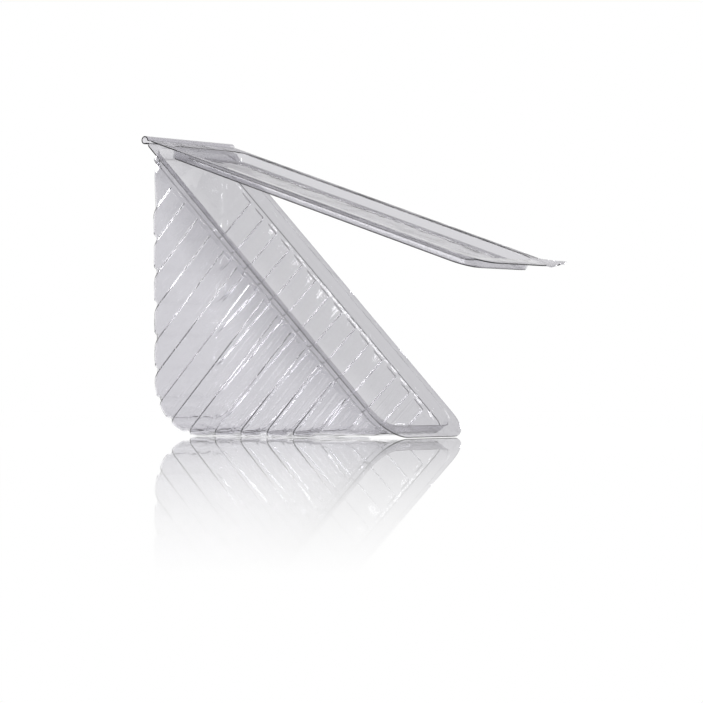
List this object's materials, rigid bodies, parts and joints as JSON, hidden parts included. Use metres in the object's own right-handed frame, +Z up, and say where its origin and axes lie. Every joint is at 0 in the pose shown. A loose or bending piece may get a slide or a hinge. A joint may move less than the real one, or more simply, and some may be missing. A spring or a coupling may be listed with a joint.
{
  "type": "sandwich container",
  "caption": "Clear wedge pack for a cut sandwich: a ribbed triangular tray standing on its square wall, with a shallow plug lid on a rolled hinge along its top edge.",
  "frame": {"origin": "on the floor, at the middle of the flat crown of the bottom rib next to the last one at the toe", "axes": "+X from the back wall towards the toe, +Y across the pack, +Z up"},
  "size_m": [0.173, 0.0644, 0.1267],
  "materials": {
    "clear_sheet": "clear, glossy formed sheet with a faint grey tint"
  },
  "bodies": {
    "tray": {"base_tray": "clear_sheet"},
    "lid": {"lid": "clear_sheet"}
  },
  "joints": [
    {"name": "lid_hinge", "type": "hinge", "parent": "tray", "child": "lid", "pos_m": [-0.06039, 0, 0.12495], "axis": [0, 1, 0], "range_deg": [-153.3, 26.7], "stiffness_Nm_per_rad": 0.04, "springref_deg": -8.88}
  ]
}
